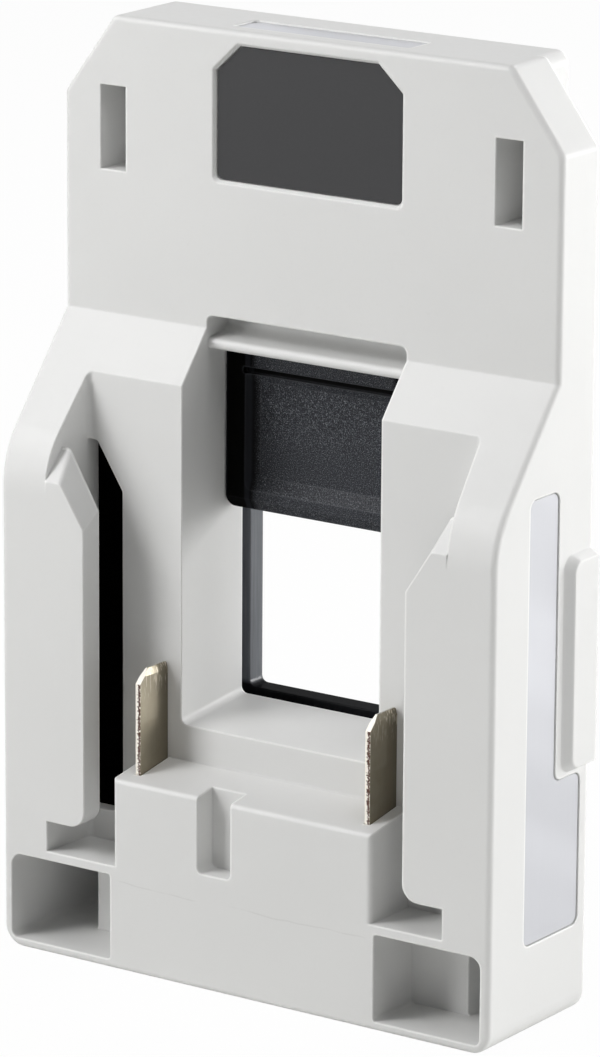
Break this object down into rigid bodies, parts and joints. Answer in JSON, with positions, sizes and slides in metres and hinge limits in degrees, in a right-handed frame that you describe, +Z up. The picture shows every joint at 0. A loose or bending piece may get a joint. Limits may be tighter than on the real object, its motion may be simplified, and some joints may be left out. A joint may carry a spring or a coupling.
{
  "type": "battery power adapter",
  "caption": "Moulded adapter that lets a slide-on battery pack power an appliance of another fitting, with rails, blade terminals, a window and a release latch.",
  "frame": {"origin": "bottom end of the battery rails: middle of the width, front face of the rails, lowest face", "axes": "+X to the object's right as seen from the battery side, +Y from the battery side to the appliance side, +Z up, from the terminal end to the upper plate"},
  "size_m": [0.0826, 0.0316, 0.129],
  "materials": {
    "housing_grey": "fine satin moulded ABS",
    "frame_black": "fine matte moulded",
    "latch_black": "fine grained",
    "holder_black": "moulded",
    "carrier_black": "moulded",
    "pin_steel": "ground",
    "spring_steel": "drawn wire",
    "terminal_metal": "plated and dulled",
    "contact_metal": "stamped sheet",
    "tab_metal": "stamped sheet",
    "lead_black": "silicone insulation",
    "lead_red": "silicone insulation",
    "board_green": "glass fibre with solder mask",
    "screw_steel": "zinc plated",
    "label_black": "printed film",
    "label_silver": "silver film"
  },
  "bodies": {
    "adapter": {"front_housing": "housing_grey", "rear_cover": "housing_grey", "inner_frame": "frame_black", "contact_holder": "holder_black", "terminal_carrier": "carrier_black", "latch_pin": "pin_steel", "latch_spring": "spring_steel", "battery_terminal_left": "terminal_metal", "battery_terminal_right": "terminal_metal", "contact_left": "contact_metal", "contact_right": "contact_metal", "lead_tab_left": "tab_metal", "lead_tab_right": "tab_metal", "lead_left": "lead_black", "lead_right": "lead_red", "circuit_board": "board_green", "cover_screws": "screw_steel", "frame_screws": "screw_steel", "board_screws": "screw_steel", "front_label": "label_black", "side_label": "label_silver", "top_label": "label_silver"},
    "latch": {"release_latch": "latch_black"}
  },
  "joints": [
    {"name": "latch_pivot", "type": "hinge", "parent": "adapter", "child": "latch", "pos_m": [0, 0.0248, 0.09], "axis": [1, 0, 0], "range_deg": [0, 12], "stiffness_Nm_per_rad": 0.25, "springref_deg": -20.05, "deforming": ["latch_spring"]}
  ]
}
